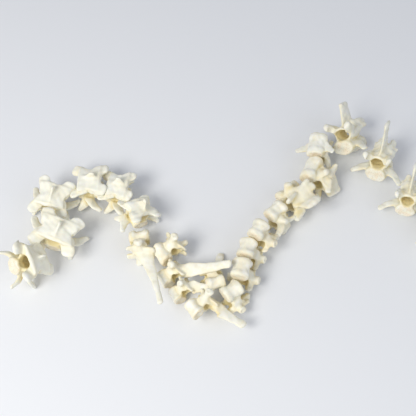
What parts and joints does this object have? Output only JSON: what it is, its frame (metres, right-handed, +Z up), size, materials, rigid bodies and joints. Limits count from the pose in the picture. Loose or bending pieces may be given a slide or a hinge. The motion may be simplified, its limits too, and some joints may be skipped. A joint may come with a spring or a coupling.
{
  "type": "fox spine",
  "caption": "Loose, cleaned vertebrae and sacrum of a red fox, laid out in a wave on a flat surface as a still model.",
  "frame": {"origin": "on the surface that the bones lie on, under the middle of the chain's bounding box", "axes": "+X from the neck end to the hip end of the chain, +Y away from the viewer, +Z up"},
  "size_m": [0.363, 0.151, 0.0384],
  "materials": {
    "neck_bone": "dry, cleaned bone, satin ivory",
    "chest_bone": "dry, cleaned bone, satin ivory",
    "loin_bone": "dry, cleaned bone, satin ivory",
    "hip_bone": "dry, cleaned bone, satin ivory"
  },
  "bodies": {
    "root": {"neck_vertebra_1": "neck_bone", "neck_vertebra_2": "neck_bone", "neck_vertebra_3": "neck_bone", "neck_vertebra_4": "neck_bone", "neck_vertebra_5": "neck_bone", "neck_vertebra_6": "neck_bone", "chest_vertebra_1": "chest_bone", "chest_vertebra_2": "chest_bone", "chest_vertebra_3": "chest_bone", "chest_vertebra_4": "chest_bone", "chest_vertebra_5": "chest_bone", "chest_vertebra_6": "chest_bone", "chest_vertebra_7": "chest_bone", "chest_vertebra_8": "chest_bone", "chest_vertebra_9": "chest_bone", "chest_vertebra_10": "chest_bone", "chest_vertebra_11": "chest_bone", "chest_vertebra_12": "chest_bone", "chest_vertebra_13": "chest_bone", "loin_vertebra_1": "loin_bone", "loin_vertebra_2": "loin_bone", "loin_vertebra_3": "loin_bone", "loin_vertebra_4": "loin_bone", "loin_vertebra_5": "loin_bone", "loin_vertebra_6": "loin_bone", "loin_vertebra_7": "loin_bone", "sacrum": "hip_bone"}
  },
  "joints": []
}
